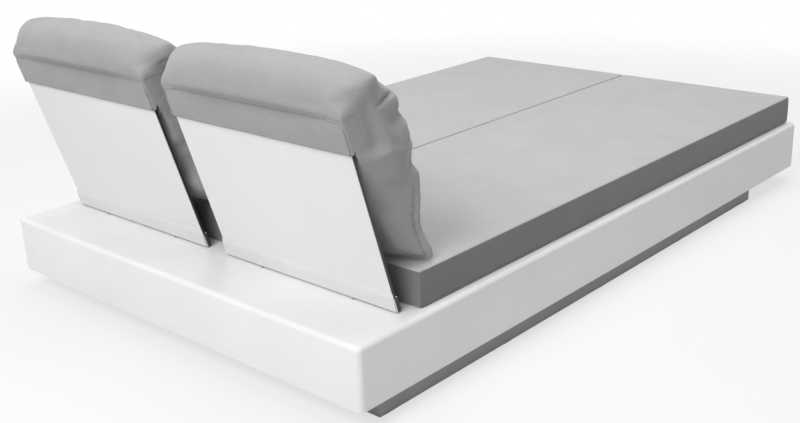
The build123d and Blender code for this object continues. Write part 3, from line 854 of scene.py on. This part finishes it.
def tube(name, path, radius, finish, sides=8):
    """A closed round tube along points in the row frame."""
    points, faces = [], []
    for i, here in enumerate(path):
        ahead = (path[min(i + 1, len(path) - 1)] - path[max(i - 1, 0)]).normalized()
        first = ahead.orthogonal().normalized()
        second = ahead.cross(first)
        for k in range(sides):
            a = 2 * math.pi * k / sides
            points.append(here + radius * (first * math.cos(a) + second * math.sin(a)))
    for i in range(len(path) - 1):
        for k in range(sides):
            j = (k + 1) % sides
            faces.append((i * sides + k, i * sides + j, (i + 1) * sides + j, (i + 1) * sides + k))
    faces.append(tuple(reversed(range(sides))))
    faces.append(tuple(range((len(path) - 1) * sides, len(path) * sides)))
    return mesh_object(name, points, faces, finish)


def dashes(name, places, along, outward, size, finish):
    """One mesh of short raised stitches: small rounded bars at places."""
    points, faces = [], []
    length, width, height = size
    for place, ahead, out in zip(places, along, outward):
        aside = ahead.cross(out).normalized()
        first = len(points)
        for t, w in ((-1, 0.5), (-0.6, 1), (0.6, 1), (1, 0.5)):
            for a in (-1, 0, 1):
                lift = height * (1 if a == 0 else 0.15) * w
                points.append(place + ahead * t * length / 2 + aside * a * width / 2 * w + out * lift)
        for i in range(3):
            for k in range(2):
                j = first + 3 * i + k
                faces.append((j, j + 3, j + 4, j + 1))
    return mesh_object(name, points, faces, finish)


def join(name, parts):
    """Joins mesh objects into one."""
    with bpy.context.temp_override(active_object=parts[0], selected_editable_objects=parts):
        bpy.ops.object.join()
    parts[0].name = name
    return parts[0]


def hood_sheet(side, seed):
    """The rear panel and edge strips of one hood."""
    rows = steps(0, 1, hood_rows)
    points = []
    for v in rows:
        u = hem_up + (hood_top - hem_up) * v
        points += [board_point(side, s, u, n) for s, n in hood_path(v, seed)]
    size = len(points) // len(rows)
    faces = [
        (i * size + j, i * size + j + 1, (i + 1) * size + j + 1, (i + 1) * size + j)
        for i in range(len(rows) - 1)
        for j in range(size - 1)
    ]
    made = mesh_object(f"hood_{side}", points, faces, cushion_cloth)
    thick = made.modifiers.new("cloth", "SOLIDIFY")
    thick.thickness = hood_cloth
    thick.offset = -1
    apply_modifiers(made)
    return made


def hood_welts(side):
    """The raised seams that curve from the hood's top seam down to its hem."""
    welts = []
    for sign in (-1, 1):
        up = hood_seam_up - 1.5 * MM
        path = [board_point(side, sign * s, up, hood_rear) for s in steps(*welt_ends, 4)]
        for v in welt_shares:
            up = hem_up + (hood_seam_up - hem_up) * v
            path.append(board_point(side, sign * hood_edge(v), up, hood_rear + 0.2 * MM))
        welts.append(tube("welt", path, welt_radius, cushion_cloth))
    return join(f"hood_welts_{side}", welts)


def hood_stitches(side):
    """Dark stitches along the seam between the hood and the cushion."""
    reach = hood_edge(1) - 16 * MM
    count = round(2 * reach / stitch_pitch)
    up, out = hood_seam_up - 2.0 * MM, hood_rear - 0.1 * MM
    places = [board_point(side, s, up, out) for s in steps(-reach, reach, count)]
    along = [Vector((1, 0, 0))] * count
    return dashes(f"hood_stitches_{side}", places, along, [-out_board] * count, stitch_size, seam_thread)


def make_hoods():
    """Both hoods with their welts and stitches."""
    for side in SIDES:
        made = hood_sheet(side, hood_seeds[side])
        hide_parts(f"hood_pocket_{side}")
        trims = [hood_welts(side), hood_stitches(side)]
        for piece in (made, *trims):
            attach(piece, f"backrest_{side}")


# Mattress halves

mattress_crown = 2 * MM
mattress_radius = 7 * MM
mattress_grid = 11 * MM
mattress_seeds = {"left": 21, "right": 27}
cover_swell = 0.9 * MM
border_belly = 0.8 * MM
cover_seam_in = 6 * MM
cover_seam_width = 2.5 * MM
top_seam_depth = 1.0 * MM
corner_seam_depth = 1.1 * MM


def rounded_lines(size, radius, spacing):
    """Grid lines along one side of a box, closer together in its rounded edges."""
    inner = size - 2 * radius
    count = max(2, round(inner / spacing))
    edge = [radius * (1 - math.cos(a)) for a in steps(0, math.pi / 2, 5)]
    middle = [radius + inner * i / count for i in range(1, count)]
    return edge + middle + [size - e for e in reversed(edge)]


def rounded_box(low, high, radius, spacing):
    """Points and faces of a box with rounded edges, on an even grid."""
    low, high = np.array(low), np.array(high)
    lines = [rounded_lines(high[k] - low[k], radius, spacing) for k in range(3)]
    index, points, faces = {}, [], []

    def point(key):
        if key not in index:
            index[key] = len(points)
            place = np.array([lines[k][key[k]] for k in range(3)]) + low
            core = np.clip(place, low + radius, high - radius)
            away = place - core
            length = np.linalg.norm(away)
            points.append(core + away * radius / length if length > 0 else place)
        return index[key]

    for axis in range(3):
        a, b = [k for k in range(3) if k != axis]
        for last in (False, True):
            fixed = len(lines[axis]) - 1 if last else 0
            for i in range(len(lines[a]) - 1):
                for j in range(len(lines[b]) - 1):
                    corners = [(i, j), (i + 1, j), (i + 1, j + 1), (i, j + 1)]
                    keys = []
                    for p, q in corners:
                        key = [0, 0, 0]
                        key[axis], key[a], key[b] = fixed, p, q
                        keys.append(point(tuple(key)))
                    if last == (axis == 1):
                        keys.reverse()
                    faces.append(tuple(keys))
    return np.array(points), faces


def make_mattress(side, seed):
    """A mattress half: flat foam in a sewn cover, with a seam below its top edge and one by each corner."""
    low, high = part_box(f"mattress_{side}")
    high = Vector((high.x, high.y, high.z - mattress_crown))
    points, faces = rounded_box(low, high, mattress_radius, mattress_grid)
    made = mesh_object(f"mattress_cover_{side}", points, faces, mattress_cloth)
    outward = normals(made)
    half = np.array((high - low) / 2)
    rel = (points - np.array((low + high) / 2)) / half
    topness = np.clip(outward[:, 2], 0, 1)
    full = (1 - rel[:, 0] ** 4) * (1 - rel[:, 1] ** 12)
    change = topness * mattress_crown * (0.2 + 0.8 * full)
    change += topness * cover_swell * soft_noise(points, 6.0, seed) * full
    sides = 1 - np.abs(outward[:, 2])
    height = np.clip((points[:, 2] - low.z) / (high.z - low.z), 0, 1)
    change += sides * border_belly * np.sin(np.pi * height)
    to_seam = np.abs(high.z - cover_seam_in - points[:, 2])
    change -= sides * top_seam_depth * bell(to_seam, cover_seam_width)
    to_corner = half[1::-1] * (1 - np.abs(rel[:, 1::-1]))
    corner = np.where(np.abs(outward[:, :2]) > 0.7, to_corner, 1).min(axis=1)
    change -= sides * corner_seam_depth * bell(corner - cover_seam_in, cover_seam_width)
    set_coordinates(made, points + outward * change[:, None])
    # The sides and ends take the darker copy of the cloth: painted shade where less light falls than on the
    # top
    made.data.materials.append(painted_side_shade_cloth)
    for face in made.data.polygons:
        if abs(face.normal.z) < 0.55:
            face.material_index = 1
    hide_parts(f"mattress_{side}")
    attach(made, "platform")


# Stage, light and camera

floor_span = 60.0
floor_tone = 0.64
shadow_lift = 0.66
shadow_reach = (1.9, 3.6)
WHITE = (1, 1, 1, 1)


def make_floor():
    """A pale floor that keeps the shadow and turns white away from the object."""
    made, shader, kit = material("floor_pale")
    kit.give(shader, Base_Color=(*grey(floor_tone), 1), Roughness=0.9, Specular_IOR_Level=0.1)
    distance = kit.add("ShaderNodeVectorMath", operation="LENGTH")
    kit.link(kit.place(), distance.inputs[0])
    fade = kit.add("ShaderNodeMapRange", interpolation_type="SMOOTHSTEP", From_Min=shadow_reach[0],
                   From_Max=shadow_reach[1], To_Min=shadow_lift)
    kit.link(distance.outputs["Value"], fade.inputs["Value"])
    glow = kit.add("ShaderNodeEmission", Color=WHITE)
    mix = kit.add("ShaderNodeMixShader")
    kit.link(kit.calculate("MULTIPLY", kit.seen_directly(), fade.outputs["Result"]), mix.inputs["Fac"])
    kit.link(shader.outputs["BSDF"], mix.inputs[1])
    kit.link(glow.outputs["Emission"], mix.inputs[2])
    kit.link(mix.outputs["Shader"], made.node_tree.nodes["Material Output"].inputs["Surface"])
    half = floor_span / 2
    corners = [(-half, -half, 0), (half, -half, 0), (half, half, 0), (-half, half, 0)]
    floor = mesh_object("floor", corners, [(0, 1, 2, 3)], made, smooth=False)


def make_world(level):
    """Even light from all round, and white where the camera sees past the floor."""
    world = bpy.data.worlds.new("studio")
    bpy.context.scene.world = world
    world.use_nodes = True
    kit = Nodes(world.node_tree)
    light = kit.give(world.node_tree.nodes["Background"], Color=WHITE, Strength=level)
    backdrop = kit.add("ShaderNodeBackground", Color=WHITE)
    mix = kit.add("ShaderNodeMixShader")
    kit.link(kit.seen_directly(), mix.inputs["Fac"])
    kit.link(light.outputs[0], mix.inputs[1])
    kit.link(backdrop.outputs[0], mix.inputs[2])
    kit.link(mix.outputs[0], world.node_tree.nodes["World Output"].inputs["Surface"])


def make_lamp(name, place, aim, size, power):
    """A soft square lamp that points at a place."""
    lamp = bpy.data.lights.new(name, "AREA")
    lamp.size = size
    lamp.energy = power
    made = bpy.data.objects.new(name, lamp)
    bpy.context.scene.collection.objects.link(made)
    made.location = place
    made.rotation_euler = (Vector(aim) - Vector(place)).to_track_quat("-Z", "Y").to_euler()


def make_camera():
    """The photograph's viewing angle, for an image 800 wide."""
    place = Vector((-2.0369, 2.4138, 1.1799))
    yaw, pitch, roll = (math.radians(a) for a in (137.315, -19.537, -2.229))
    focal_pixels, image_width = 1085.3, 800
    forward = Vector((math.cos(pitch) * math.sin(yaw), math.cos(pitch) * math.cos(yaw), math.sin(pitch)))
    level = forward.cross(Vector((0, 0, 1))).normalized()
    upright = level.cross(forward)
    right = level * math.cos(roll) + upright * math.sin(roll)
    up = upright * math.cos(roll) - level * math.sin(roll)
    lens = bpy.data.cameras.new("camera")
    lens.sensor_width = 36
    lens.lens = focal_pixels / image_width * lens.sensor_width
    camera = bpy.data.objects.new("camera", lens)
    bpy.context.scene.collection.objects.link(camera)
    turn = Matrix((right, up, -forward)).transposed().to_4x4()
    camera.matrix_world = Matrix.Translation(place) @ turn
    bpy.context.scene.camera = camera


dress_nodes()
make_cushions()
make_hoods()
for side in SIDES:
    make_mattress(side, mattress_seeds[side])
make_floor()
make_world(level=0.38)
make_lamp("key", place=(-1.1, 4.6, 4.2), aim=(0, 0, 0.3), size=2.8, power=250)
make_lamp("top", place=(0.1, -0.3, 4.6), aim=(0, 0, 0.2), size=3.0, power=130)
make_camera()
bpy.context.scene.view_settings.view_transform = "Standard"
